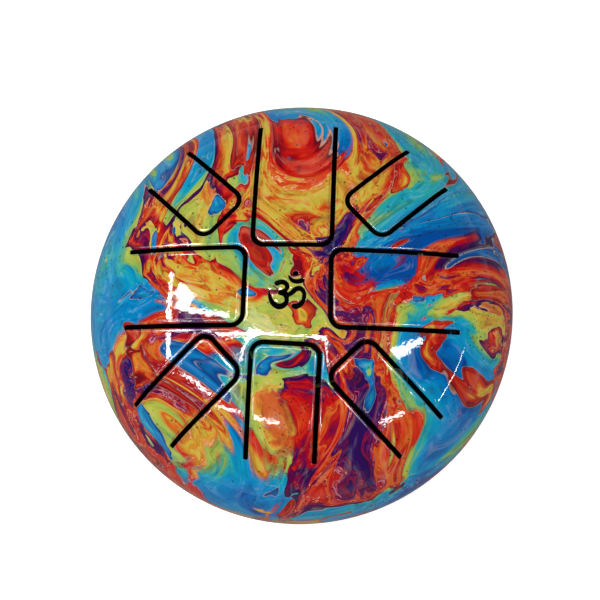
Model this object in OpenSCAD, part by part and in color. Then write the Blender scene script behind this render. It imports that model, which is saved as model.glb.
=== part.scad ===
// Steel tongue drum, six inches across. Two dished steel shells are pressed on the same
// tool and welded rim to rim. Eight tongues are cut in the upper shell: each stays joined
// to the sheet at its outer end and is free at the tip, near the middle of the drum. The
// lower shell has the sound port and stands on three rubber feet.
// X is to the right and Y away from the player. Z is up from the surface it stands on.

/* [Shells] */
// Outside diameter at the seam
drum_d = 152.4; // [146:0.2:165]
// Height of each shell, from the seam to its crown
shell_h = 37; // [35:0.5:42]
// Outside radius of the shoulder that turns the crown down to the seam
shoulder_r = 29; // [25:0.5:31]
// Thickness of the steel sheet
sheet_t = 2; // [1.4:0.1:2.4]

/* [Tongues] */
// Length of the longest tongue, from its root to its tip, as a share of the drum's radius
tongue_length_share = 0.6037; // [0.56:0.0001:0.63]
// Width of the widest tongue, between its cuts' middle lines, as a share of that radius
tongue_width_share = 0.3478; // [0.32:0.0001:0.36]
// Distance from the axis to the root of the farthest tongue, as a share of that radius
tongue_root_share = 0.853; // [0.84:0.001:0.865]
// Width of the cut round each tongue
slot_w = 1.6; // [1:0.1:2]
// Radius of the cut's middle line at the two corners of a tip
tip_corner_r = 4; // [3:0.5:5.5]

/* [Sound port] */
// Inside diameter of the port in the lower shell
port_d = 42; // [34:1:48]
// Outside radius of the bend where the sheet turns in round the port
port_bend_r = 4; // [3:0.5:4]
// Width of the flat land that is pressed into the crown outside that bend
port_land_w = 5; // [3:0.5:7]
// Length of the straight lip inside that bend
port_lip_l = 4; // [2:0.5:8]

/* [Feet] */
// Height of the lower shell's crown above the table
ground_gap = 4; // [3:0.5:8]
// Distance from the axis to the middle of each foot's seat, as a share of the drum's radius
foot_ring_share = 0.5512; // [0.52:0.0001:0.59]
// Diameter of a foot where it meets the shell
foot_top_d = 20; // [17:0.5:22]
// Diameter of a foot near its sole
foot_sole_d = 17; // [15:0.5:18]
// Diameter of the recess that hides the screw head
foot_recess_d = 9.4; // [9:0.2:10]

/* [Foot screws] */
// Diameter of the screw's shank
screw_d = 4; // [3:0.5:4]
// Diameter of the screw's pan head
head_d = 7.6; // [7:0.2:8]
// Height of the pan head
head_h = 2.4; // [2:0.1:2.8]
// Thickness of the rubber between the shell and the steel insert
foot_web_t = 3; // [2:0.5:4]
// Diameter of the steel insert moulded into a foot
insert_d = 12; // [11:0.5:13]
// Thickness of the steel insert
insert_t = 1; // [0.8:0.1:1.5]
// Diameter of the washer under the nut
washer_d = 9; // [8:0.5:10]
// Thickness of that washer
washer_t = 0.8; // [0.6:0.1:1]
// Width of the nut across its flats
nut_af = 7; // [6.5:0.5:8]
// Height of the nut
nut_h = 3.2; // [2.4:0.1:4]

/* [Hidden] */
$fn = 180;
// Facets of the crown's long arc
crown_fn = 720;

// How far a cutting shape runs past what it cuts
overrun = 3;
// Lengths that come from a share or from the crown are rounded to this step
layout_step = 0.01;
// Free space between a tongue's root face and the sheet, for the flexing
root_gap = 0.06;
// Width of the weld groove at the outside and at the inside of the sheet
weld_face_w = 3;
weld_root_w = 0.8;
// Radius of the bead that shows inside the seam
weld_bead_r = 1.2;
// Radial clearance round the screw in the sheet, the insert and the washer
screw_gap = 0.25;
// Radial clearance of the nut's bore, which stands for its thread
thread_gap = 0.05;
// Clearance of a flat washer to the hollow of the sheet it lies in
seat_gap = 0.01;
// Length of screw that shows past the nut
screw_past_nut = 1;
// Width and depth of the cross in the screw head
cross_w = 0.9;
cross_l = 4.6;
cross_h = 1.4;
// Radius of the rounding on the screw head's rim
head_round_r = 1;
revolve_start = 22;
foot_count = 3;
foot_turn = 360 / foot_count;
// The first foot stands at the far side of the drum
foot_start = 90;

// One row for each tongue, clockwise from the far side. The cuts were laid out by hand.
// Heading of the root, length as a share of tongue_l, width as a share of tongue_w,
// root distance as a share of tongue_root, sideways shift as a share of tongue_w
tongue_shares = [
    [90.5, 1.00, 1.00, 0.930, 0.000],
    [44, 0.67, 0.72, 0.985, 0.062],
    [1, 0.92, 0.985, 0.855, -0.010],
    [315, 0.76, 0.705, 0.988, -0.086],
    [268, 0.82, 0.85, 0.868, -0.008],
    [224.5, 0.75, 0.71, 1.000, 0.016],
    [180, 0.905, 1.00, 0.878, -0.010],
    [137.5, 0.67, 0.72, 0.992, -0.060]
];

rim_r = drum_d / 2;
tongue_l = to_step(tongue_length_share * rim_r);
tongue_w = to_step(tongue_width_share * rim_r);
tongue_root = to_step(tongue_root_share * rim_r);
foot_seat_r = to_step(foot_ring_share * rim_r);
seam_z = ground_gap + shell_h;
// Centre of the shoulder's arc in the profile, on the seam plane
shoulder_x = rim_r - shoulder_r;
// The crown is the sphere that the shoulder's arc meets without a corner
crown_r = (shoulder_x^2 + shell_h^2 - shoulder_r^2) / (2 * (shell_h - shoulder_r));
crown_z = shell_h - crown_r;
port_r = port_d / 2;
port_bend_x = port_r + port_bend_r;
port_land_r = port_bend_x + port_land_w;
port_land_z = to_step(crown_z + sqrt(crown_r^2 - port_land_r^2));
port_bend_z = port_land_z - port_bend_r;
// The lower crown's centre, and how far a foot leans out from the vertical
lower_centre_z = seam_z - crown_z;
foot_lean = asin(foot_seat_r / crown_r);
sheet_inside_r = crown_r - sheet_t;
// Places along a foot's axis, measured from the lower crown's centre
insert_at = crown_r + foot_web_t;
head_at = insert_at + insert_t;
washer_at = sqrt(sheet_inside_r^2 - (washer_d / 2)^2) - seat_gap;
nut_at = washer_at - washer_t;
screw_end_at = nut_at - nut_h - screw_past_nut;
foot_past = lower_centre_z / cos(foot_lean) + foot_top_d;

paint_blue = [0.10, 0.48, 0.68];
paint_orange = [0.87, 0.34, 0.12];
paint_yellow = [0.80, 0.70, 0.25];
paint_crimson = [0.62, 0.09, 0.14];
rubber_black = [0.07, 0.07, 0.07];
zinc_grey = [0.72, 0.73, 0.75];
tongue_paints = [paint_orange, paint_blue, paint_crimson, paint_yellow];

function to_step(x) = round(x / layout_step) * layout_step;

// A strip of sheet bent round an arc, its outside at radius r
module bent_sheet(r, facets = $fn) {
    difference() {
        circle(r, $fn = facets);
        circle(r - sheet_t, $fn = facets);
    }
}

// Crown and shoulder meet on the line through their centres. These are its two sides.
module crown_side() {
    polygon([[0, crown_z], [2 * shoulder_x, -crown_z], [0, -crown_z]]);
}

module shoulder_side() {
    polygon([[shoulder_x, 0], [3 * shoulder_x, 0], [2 * shoulder_x, -crown_z]]);
}

// The groove that the weld fills, as wide outside as weld_face_w
module weld_groove() {
    slope = (weld_face_w - weld_root_w) / 2 / sheet_t;
    outside = weld_face_w / 2 + overrun * slope;
    inside = weld_root_w / 2;
    polygon([
        [rim_r - sheet_t, -inside],
        [rim_r + overrun, -outside],
        [rim_r + overrun, outside],
        [rim_r - sheet_t, inside],
        [rim_r - sheet_t - weld_bead_r / 2, inside],
        [rim_r - sheet_t - weld_bead_r / 2, -inside]
    ]);
}

// The shoulder's part of the section, down to the weld groove
module shoulder_profile() {
    difference() {
        intersection() {
            translate([shoulder_x, 0]) bent_sheet(shoulder_r);
            shoulder_side();
        }
        weld_groove();
    }
}

module upper_profile() {
    intersection() {
        translate([0, crown_z]) bent_sheet(crown_r, crown_fn);
        crown_side();
    }
    shoulder_profile();
}

// The turn puts the start of the revolve between two tongues
module whole_upper_dish() {
    translate([0, 0, seam_z]) rotate([0, 0, revolve_start]) rotate_extrude() upper_profile();
}

// Plan of a tongue from its tip to its root. Grow moves the edge out from the cut's middle.
module tongue_plan(row, grow, root_shift) {
    half_w = to_step(row[2] * tongue_w / 2) + grow;
    root = to_step(row[3] * tongue_root);
    tip = root - to_step(row[1] * tongue_l) - grow;
    corner = tip_corner_r + grow;
    root_end = root + root_shift;
    translate([tip + corner, -half_w]) square([root_end - tip - corner, 2 * half_w]);
    translate([tip, corner - half_w]) square([root_end - tip, 2 * (half_w - corner)]);
    for (side = [-1, 1]) {
        translate([tip + corner, side * (half_w - corner)]) circle(corner);
    }
}

// The space above the seam that a tongue or its window takes
module tongue_column(row, grow, root_shift) {
    rotate([0, 0, row[0]])
        translate([0, row[4] * tongue_w, seam_z])
            linear_extrude(shell_h + overrun) tongue_plan(row, grow, root_shift);
}

// The pressed upper shell with a window for each tongue and its cut
module upper_shell() {
    color(paint_blue)
        difference() {
            whole_upper_dish();
            for (row = tongue_shares) {
                tongue_column(row, slot_w / 2, root_gap / 2);
            }
        }
}

// One tongue of the same sheet, which springs at its root
module tongue(i) {
    color(tongue_paints[i % len(tongue_paints)])
        intersection() {
            whole_upper_dish();
            tongue_column(tongue_shares[i], -slot_w / 2, -root_gap / 2);
        }
}

// The weld between the rims: ground flush outside, with its bead left inside
module seam_weld() {
    color(paint_blue)
        translate([0, 0, seam_z])
            rotate_extrude() {
                intersection() {
                    translate([shoulder_x, 0]) circle(shoulder_r);
                    weld_groove();
                }
                intersection() {
                    translate([rim_r - sheet_t, 0]) circle(weld_bead_r);
                    translate([shoulder_x, 0]) circle(shoulder_r - sheet_t);
                }
            }
}

// The space under a crown with a flat land at its middle; inset is the depth into the sheet
module landed_crown(inset, reach) {
    intersection() {
        translate([0, crown_z]) circle(crown_r - inset, $fn = crown_fn);
        translate([port_bend_x - reach, -reach]) square([rim_r, port_land_z - inset + reach]);
    }
}

// Section of the lower shell, drawn crown up: shoulder, crown, land, bend and lip
module lower_profile() {
    intersection() {
        difference() {
            landed_crown(0, 0);
            landed_crown(sheet_t, overrun);
        }
        crown_side();
    }
    shoulder_profile();
    translate([port_bend_x, port_bend_z])
        intersection() {
            bent_sheet(port_bend_r);
            translate([-port_bend_r, 0]) square(port_bend_r);
        }
    translate([port_r, port_bend_z - port_lip_l]) square([sheet_t, port_lip_l]);
}

// Carries its children to a foot's axis, with Z out from the lower crown's centre
module on_foot_axis(k) {
    rotate([0, 0, foot_start + k * foot_turn])
        translate([0, 0, lower_centre_z])
            rotate([0, 180 - foot_lean, 0])
                children();
}

module on_each_foot_axis() {
    for (k = [0:foot_count - 1]) {
        on_foot_axis(k) children();
    }
}

module lower_shell() {
    color(paint_blue)
        difference() {
            translate([0, 0, seam_z]) mirror([0, 0, 1]) rotate_extrude() lower_profile();
            on_each_foot_axis()
                translate([0, 0, sheet_inside_r - overrun])
                    cylinder(h = sheet_t + 2 * overrun, d = screw_d + 2 * screw_gap);
        }
}

// A rubber foot: its seat follows the shell's crown and its sole is cut level
module foot(k) {
    color(rubber_black)
        difference() {
            on_foot_axis(k)
                difference() {
                    translate([0, 0, crown_r - overrun])
                        cylinder(h = foot_past - crown_r, d1 = foot_top_d, d2 = foot_sole_d);
                    sphere(crown_r);
                    translate([0, 0, sheet_inside_r])
                        cylinder(h = foot_past, d = screw_d + 2 * screw_gap);
                    translate([0, 0, insert_at]) cylinder(h = insert_t, d = insert_d);
                    translate([0, 0, head_at]) cylinder(h = foot_past, d = foot_recess_d);
                }
            translate([-drum_d, -drum_d, -drum_d]) cube([2 * drum_d, 2 * drum_d, drum_d]);
        }
}

// Steel rings moulded into the feet, which the screw heads press on
module foot_inserts() {
    color(zinc_grey)
        on_each_foot_axis()
            translate([0, 0, insert_at])
                difference() {
                    cylinder(h = insert_t, d = insert_d);
                    translate([0, 0, -overrun])
                        cylinder(h = insert_t + 2 * overrun, d = screw_d + 2 * screw_gap);
                }
}

// Section of the screw: shank, and pan head with a rounded rim
module screw_profile() {
    head_r = head_d / 2;
    translate([0, screw_end_at]) square([screw_d / 2, head_at - screw_end_at]);
    translate([0, head_at]) square([head_r, head_h - head_round_r]);
    translate([0, head_at]) square([head_r - head_round_r, head_h]);
    translate([head_r - head_round_r, head_at + head_h - head_round_r]) circle(head_round_r);
}

module foot_screws() {
    color(zinc_grey)
        on_each_foot_axis()
            difference() {
                rotate_extrude() screw_profile();
                for (turn = [0, 90]) {
                    rotate([0, 0, turn])
                        translate([-cross_l / 2, -cross_w / 2, head_at + head_h - cross_h])
                            cube([cross_l, cross_w, cross_h + overrun]);
                }
            }
}

module foot_washers() {
    color(zinc_grey)
        on_each_foot_axis()
            translate([0, 0, washer_at - washer_t])
                difference() {
                    cylinder(h = washer_t, d = washer_d);
                    translate([0, 0, -overrun])
                        cylinder(h = washer_t + 2 * overrun, d = screw_d + 2 * screw_gap);
                }
}

module foot_nuts() {
    color(zinc_grey)
        on_each_foot_axis()
            translate([0, 0, nut_at - nut_h])
                difference() {
                    cylinder(h = nut_h, d = nut_af / cos(30), $fn = 6);
                    translate([0, 0, -overrun])
                        cylinder(h = nut_h + 2 * overrun, d = screw_d + 2 * thread_gap);
                }
}

upper_shell();
tongue(0);  // tongue_1
tongue(1);  // tongue_2
tongue(2);  // tongue_3
tongue(3);  // tongue_4
tongue(4);  // tongue_5
tongue(5);  // tongue_6
tongue(6);  // tongue_7
tongue(7);  // tongue_8
seam_weld();
lower_shell();
foot(0);  // foot_1
foot(1);  // foot_2
foot(2);  // foot_3
foot_inserts();
foot_screws();
foot_washers();
foot_nuts();
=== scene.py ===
import math
import bmesh
import bpy
import numpy as np
from mathutils import Matrix, Vector, geometry, kdtree


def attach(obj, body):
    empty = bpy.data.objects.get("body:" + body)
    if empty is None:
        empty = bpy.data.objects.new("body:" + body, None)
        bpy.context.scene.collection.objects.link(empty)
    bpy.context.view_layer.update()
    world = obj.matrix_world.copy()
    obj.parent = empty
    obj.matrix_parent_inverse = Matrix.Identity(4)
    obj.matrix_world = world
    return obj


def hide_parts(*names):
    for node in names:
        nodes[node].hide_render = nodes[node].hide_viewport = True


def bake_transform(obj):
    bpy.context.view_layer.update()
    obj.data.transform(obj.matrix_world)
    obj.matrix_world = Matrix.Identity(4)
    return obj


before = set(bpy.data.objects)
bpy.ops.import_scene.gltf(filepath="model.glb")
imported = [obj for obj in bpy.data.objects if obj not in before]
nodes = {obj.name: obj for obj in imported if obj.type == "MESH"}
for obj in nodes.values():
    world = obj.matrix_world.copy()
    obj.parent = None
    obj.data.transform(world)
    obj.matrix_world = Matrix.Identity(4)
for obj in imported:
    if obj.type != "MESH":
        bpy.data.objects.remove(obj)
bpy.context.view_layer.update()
mm = 0.001
tiny = 1e-9   # keeps a division from zero

# the pressed shell's section, in millimetres from the seam plane, as in the part's source
shell = {"rim": 76.2, "height": 37.0, "shoulder": 29.0, "sheet": 2.0, "seam": 41.0, "weldHalf": 1.5}
shoulderX = shell["rim"] - shell["shoulder"]
aboveShoulder = shell["height"] - shell["shoulder"]
crownR = (shoulderX**2 + shell["height"]**2 - shell["shoulder"]**2) / (2 * aboveShoulder)
crownZ = shell["height"] - crownR
meetTilt = math.asin(shoulderX / (crownR - shell["shoulder"]))   # normal's tilt where crown meets shoulder
meetArc = crownR * meetTilt
weldTilt = math.acos(shell["weldHalf"] / shell["shoulder"])


def tiltAtRadius(r):
    # the normal's tilt from the drum's axis at a distance r from it: on the crown its sine is r over the
    # crown's radius, past it the distance from the shoulder's centre over the shoulder's radius
    crown = np.arcsin(np.clip(r / crownR, -1, 1))
    shoulder = np.arcsin(np.clip((r - shoulderX) / shell["shoulder"], -1, 1))
    return np.where(crown <= meetTilt, crown, shoulder)


def arcOfTilt(tilt):
    # length along the meridian from the crown's top: radius times tilt, on the crown and then the shoulder
    return np.where(tilt <= meetTilt, crownR * tilt, meetArc + shell["shoulder"] * (tilt - meetTilt))


def tiltOfArc(arc):
    # the same the other way round
    return np.where(arc <= meetArc, arc / crownR, meetTilt + (arc - meetArc) / shell["shoulder"])


def planToChart(plan):
    # a chart point lies at the plan point's heading, at its arc length from the crown's top
    r = np.hypot(plan[:, 0], plan[:, 1])
    return plan * (arcOfTilt(tiltAtRadius(r)) / np.maximum(r, tiny))[:, None]


def skin(chart, depth):
    # points at a depth under the outer surface, and its normals: from the centre of the crown's or the
    # shoulder's arc, go its radius less the depth along the normal
    arc = np.hypot(chart[:, 0], chart[:, 1])
    tilt = tiltOfArc(arc)
    heading = chart / np.maximum(arc, tiny)[:, None]
    onCrown = tilt <= meetTilt
    crown, shoulder = crownR - depth, shell["shoulder"] - depth
    radius = np.where(onCrown, crown * np.sin(tilt), shoulderX + shoulder * np.sin(tilt))
    height = np.where(onCrown, crownZ + crown * np.cos(tilt), shoulder * np.cos(tilt))
    points = np.column_stack([heading * radius[:, None], shell["seam"] + height])
    normals = np.column_stack([heading * np.sin(tilt)[:, None], np.cos(tilt)])
    return points, normals


def unit(v):
    return v / np.maximum(np.linalg.norm(v, axis=1), tiny)[:, None]


# the camera, from the fit to the photograph's outline and tongues; its place in mm
camera = {"lens": 58.29, "sensor": 36, "near": 0.01, "shift": (0.001, 0.0162), "at": (30.72, -72.46, 385.42),
          "right": (0.99603356, 0.03648297, -0.08115504), "up": (-0.01892262, 0.97806391, 0.20744379),
          "back": (0.08694298, -0.20508531, 0.97487483)}


def makeCamera(c):
    cam = bpy.data.cameras.new("camera")
    cam.lens, cam.sensor_width, cam.clip_start = c["lens"], c["sensor"], c["near"]
    cam.shift_x, cam.shift_y = c["shift"]
    obj = bpy.data.objects.new("camera", cam)
    turn = Matrix((c["right"], c["up"], c["back"])).transposed().to_4x4()
    obj.matrix_world = Matrix.Translation(Vector(c["at"]) * mm) @ turn
    bpy.context.scene.collection.objects.link(obj)
    bpy.context.scene.camera = obj


makeCamera(camera)
print("camera in place")


def linear(code):
    # six hex digits, as a screen shows them, to the linear values that a shader takes
    parts = [int(code[k:k + 2], 16) / 255 for k in (0, 2, 4)]
    return tuple(p / 12.92 if p <= 0.04045 else ((p + 0.055) / 1.055) ** 2.4 for p in parts) + (1.0,)


class Link:
    # a socket's value; an expression on it adds Math or Vector Math nodes
    def __init__(self, shader, socket, vector=False):
        self.shader, self.socket, self.vector = shader, socket, vector

    def calc(self, operation, *values, turned=False):
        terms = (list(values) + [self]) if turned else ([self] + list(values))
        vector = any(isinstance(t, Link) and t.vector for t in terms)
        kind = "ShaderNodeVectorMath" if vector else "ShaderNodeMath"
        terms = dict(enumerate((t,) * 3 if vector and isinstance(t, (int, float)) else t for t in terms))
        settings = {"operation": operation}
        if operation in ("LENGTH", "DOT_PRODUCT"):
            return self.shader.add(kind, terms, settings, out="Value")
        return self.shader.add(kind, terms, settings, vector=vector)

    def other(self, output, vector=False):
        # another output of the same node
        return Link(self.shader, self.socket.node.outputs[output], vector)

    def __add__(self, other):
        return self.calc("ADD", other)

    def __radd__(self, other):
        return self.calc("ADD", other)

    def __sub__(self, other):
        return self.calc("SUBTRACT", other)

    def __rsub__(self, other):
        return self.calc("SUBTRACT", other, turned=True)

    def __mul__(self, other):
        return self.calc("MULTIPLY", other)

    def __rmul__(self, other):
        return self.calc("MULTIPLY", other)

    def __abs__(self):
        return self.calc("ABSOLUTE")


class Shader:
    def __init__(self, name):
        self.material = bpy.data.materials.new(name)
        self.material.use_nodes = True
        self.tree = self.material.node_tree
        self.tree.nodes.clear()
        self.place = self.add("ShaderNodeTexCoord", out="Object", vector=True)

    def add(self, kind, values=None, settings=None, out=0, vector=False):
        node = self.tree.nodes.new(kind)
        for key, value in (settings or {}).items():
            if key == "stops":
                self.setStops(node.color_ramp, value)
            else:
                setattr(node, key, value)
        for key, value in (values or {}).items():
            if isinstance(value, Link):
                self.tree.links.new(value.socket, node.inputs[key])
            else:
                node.inputs[key].default_value = linear(value) if isinstance(value, str) else value
        return Link(self, node.outputs[out] if len(node.outputs) else None, vector)

    def setStops(self, ramp, stops):
        while len(ramp.elements) < len(stops):
            ramp.elements.new(0.5)
        for element, (at, code) in zip(ramp.elements, stops):
            element.position = at
            element.color = linear(code)

    def join(self, x, y, z):
        return self.add("ShaderNodeCombineXYZ", {0: x, 1: y, 2: z}, vector=True)

    def noise(self, place, scale, detail=2.0, rough=0.5, shift=None, vector=False):
        moved = place + shift if shift else place
        values = {"Vector": moved, "Scale": scale, "Detail": detail, "Roughness": rough}
        return self.add("ShaderNodeTexNoise", values, out="Color" if vector else "Fac", vector=vector)

    def ramp(self, value, stops):
        return self.add("ShaderNodeValToRGB", {0: value}, {"stops": stops})

    def step(self, value, low, high):
        # 0 below low, 1 above high, smooth between
        values = {"Value": value, "From Min": low, "From Max": high}
        return self.add("ShaderNodeMapRange", values, {"interpolation_type": "SMOOTHSTEP"})

    def blend(self, under, over, share):
        return self.add("ShaderNodeMix", {0: share, 6: under, 7: over}, {"data_type": "RGBA"}, out=2)

    def mix(self, under, over, share):
        return self.add("ShaderNodeMixShader", {0: share, 1: under, 2: over})

    def attribute(self, name):
        return self.add("ShaderNodeAttribute", None, {"attribute_name": name}, out="Fac")

    def bump(self, height, strength, distance):
        values = {"Height": height, "Strength": strength, "Distance": distance}
        return self.add("ShaderNodeBump", values, out="Normal")

    def finish(self, surface):
        self.add("ShaderNodeOutputMaterial", {"Surface": surface})
        return self.material


# two paints, the warm one poured over the cool one. Each is a ramp of broad colours over a noise that is
# drawn to its pours, with pale laces on some of its contours; deep is the warm paint's other ramp.
# A noise is a scale, detail, roughness and shift; a pour is a place and a radius in mm, and a value
paint = {
    "folds": [((12, 0), 0.100), ((28, 0.5, 0.5, (3.1, 0.7, 1.9)), 0.085),
              ((70, 1, 0.5, (0.3, 5.2, 2.4)), 0.026), ((150, 1, 0.5, (2.2, 6.1, 0.4)), 0.011)],
    "stay": 0.45, "pourFade": (0.45, 1.15), "laceWidth": 0.014, "laceCore": 0.4,
    "some": (22, 0.5, 0.5, (4.0, 4.0, 7.0)),
    "cool": {"noise": (20, 0.5, 0.5, (7.0, 1.0, 4.0)), "gain": 2.4, "base": 0.66, "pull": 0.8,
             "fine": (55, 1.6, 0.55, (1.0, 9.0, 2.0)), "fineGain": 0.55,
             "stops": [(0.00, "004690"), (0.07, "0064A6"), (0.22, "007EB6"), (0.38, "0A90B2"),
                       (0.45, "289C98"), (0.51, "6CA060"), (0.58, "90A84C"), (0.70, "A2AE46"),
                       (0.81, "BEA83C"), (0.90, "C88A2E"), (1.00, "BE5A28")],
             "laces": [(0.28, "6AA8BE"), (0.505, "B4C8A4"), (0.78, "D0C08C")], "laceShare": 0.6,
             "pours": [((-62, -14, 50), 32, 0.20), ((-46, 46, 58), 20, 0.14), ((54, 42, 60), 32, 0.36),
                       ((-2, -2, 78), 22, 0.70), ((-40, 24, 68), 16, 0.66), ((22, -62, 50), 24, 0.20),
                       ((56, -46, 50), 18, 0.72), ((8, 68, 52), 16, 0.92), ((0, 0, 4), 44, 0.66),
                       ((-50, 40, 24), 34, 0.2), ((50, -40, 20), 30, 0.3)]},
    "warm": {"noise": (26, 0.8, 0.5, (2.0, 4.0, 9.0)), "gain": 5, "base": 2.5, "pull": 0.75,
             "fine": (80, 1.4, 0.55, (6.0, 2.0, 3.0)), "fineGain": 0.5,
             "stops": [(0.000, "CC9076"), (0.016, "C08470"), (0.028, "440622"), (0.048, "7C0818"),
                       (0.09, "AE0C0E"), (0.18, "C42012"), (0.265, "C84818"), (0.33, "C67224"),
                       (0.395, "C69A34"), (0.455, "BAAA3E"), (0.505, "C48228"), (0.56, "C0461C"),
                       (0.62, "A81A16"), (0.69, "7E0C2A"), (0.74, "4A0C46"), (0.79, "5A0E48"),
                       (0.84, "2A0C56"), (0.88, "160E5C"), (0.92, "4A0E54"), (0.96, "7C1040"),
                       (1.00, "1C0C54")],
             "laces": [(0.305, "E6B888"), (0.675, "CC8C98"), (0.83, "7E4478")], "laceShare": 0.7,
             "pours": [((-2, -2, 78), 17, -0.5), ((-62, -14, 52), 30, -0.7), ((54, 42, 60), 26, -0.7),
                       ((2, 42, 72), 20, 0.36), ((62, -2, 56), 30, 0.75), ((33, 0, 75), 12, 0.2),
                       ((-36, -38, 66), 19, 0.72), ((-42, -64, 42), 20, 0.6), ((22, -62, 50), 20, -0.6),
                       ((-34, 6, 70), 13, 0.42), ((0, -50, 70), 12, 0.15), ((60, -48, 46), 16, 0.1)]},
    "deep": {"noise": (17, 0.5, 0.5, (9.0, 3.0, 6.0)), "pull": 0.8,
             "stops": [(0.000, "BC908E"), (0.014, "B28286"), (0.030, "1C0836"), (0.10, "340A48"),
                       (0.17, "5A0642"), (0.24, "8E0624"), (0.34, "B40C10"), (0.45, "C43416"),
                       (0.52, "C46424"), (0.58, "B42216"), (0.66, "980822"), (0.74, "5A0C40"),
                       (0.82, "240A50"), (0.88, "4A0C48"), (0.94, "84122E"), (1.00, "2A0C50")],
             "pours": [((-46, -46, 54), 26, 0.62), ((-4, -68, 44), 22, 0.60), ((62, 6, 52), 24, 0.58),
                       ((-2, 60, 66), 20, 0.40), ((-30, 4, 76), 16, 0.40)]},
    # layers: the noise, two ways along which it changes, and how far it is stretched on each value
    "layer": (1, 3.5, 0.62), "layerWays": ((70, 20, 40), (-20, 70, -40)),
    "layerStretch": (8, 1.8, 4), "veinStretch": (7, 1.6, 4), "layerGain": 0.8, "veinGain": (0.35, 0.45),
    "rimTone": 0.045, "rimLift": 0.02, "shore": (-0.010, 0.004),
    "wet": (16, 0.5, 0.5, (5.0, 9.0, 2.0)), "wetTone": (0.7, 0.6, 0.27), "wetShore": (0.13, 0.10),
    "finger": {"noise": (32, 0.5, 0.5, (8.05, 7.9, 1.1)), "fine": (95, 1, 0.5, (0.6, 3.3, 8.2)),
               "fineGain": 0.07, "drift": (1, 3, 0.6), "driftStretch": (24, 1.6, 1.6), "driftGain": 1.3,
               "pours": [((0, -46, 70), 20, 0.5), ((-28, 6, 76), 14, 0.5)],
               "blue": [(0.0, "C8BEA8"), (0.08, "0C3878"), (0.3, "0A6CAA"), (0.6, "128AB2"),
                        (0.85, "3A9E92"), (1.0, "8CAA50")], "blueEdge": (0.662, 0.666), "blueGain": 9,
               "red": [(0.0, "CC9C80"), (0.06, "640C18"), (0.22, "AC1A14"), (0.42, "BE441C"),
                       (0.6, "C6882A"), (0.75, "C4A438"), (1.0, "760C2C")],
               "redEdge": (0.364, 0.368), "redGain": 7}}
# from where to where in its noise each share grows
edges = {"coolVeins": (0.40, 0.65), "coolLaces": (0.50, 0.56), "wet": (0.54, 0.60),
         "warmLayers": (0.03, 0.12), "warmRim": (0.028, 0.04), "rimless": (0.47, 0.52),
         "pastRim": (0.03, 0.05), "deep": (0.46, 0.52), "laceless": (0.47, 0.54),
         "blueDrift": (0.67, 0.69), "redDrift": (0.34, 0.36)}


def drawn(s, p, value, pours, pull, where):
    # paint is drawn to a pour's value round its place, and less and less from the core outwards
    core, reach = p["pourFade"]
    for place, radius, target in pours:
        ends = {0: where, 1: tuple(x * mm for x in place)}
        gap = s.add("ShaderNodeVectorMath", ends, {"operation": "DISTANCE"}, out="Value")
        value = value + (target - value) * (1 - s.step(gap, core * radius * mm, reach * radius * mm)) * pull
    return value


def laced(s, p, colour, value, family, share):
    # a thin pale line where the value passes each lace's own value
    width, share = p["laceWidth"], share * family["laceShare"]
    for level, code in family["laces"]:
        near = 1 - s.step(abs(value - level), width * p["laceCore"], width)
        colour = s.blend(colour, code, near * share)
    return colour


def paintValue(s, p, family, place, curl, zone):
    # a broad noise, drawn to the pours, with a finer noise on top
    value = s.noise(place, *family["noise"]) * family["gain"] - family["base"]
    value = drawn(s, p, value, family["pours"], family["pull"], zone)
    return value + (s.noise(curl, *family["fine"]) - 0.5) * family["fineGain"]


def layered(s, p, value, side, some, ways, stretch):
    # noise whose coordinates are the values themselves: bands along the first one's lines of equal value
    a, b, c = stretch
    return s.noise(s.join(value * a, side * b + ways[0], some * c + ways[1]), *p["layer"]) - 0.5


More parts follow.
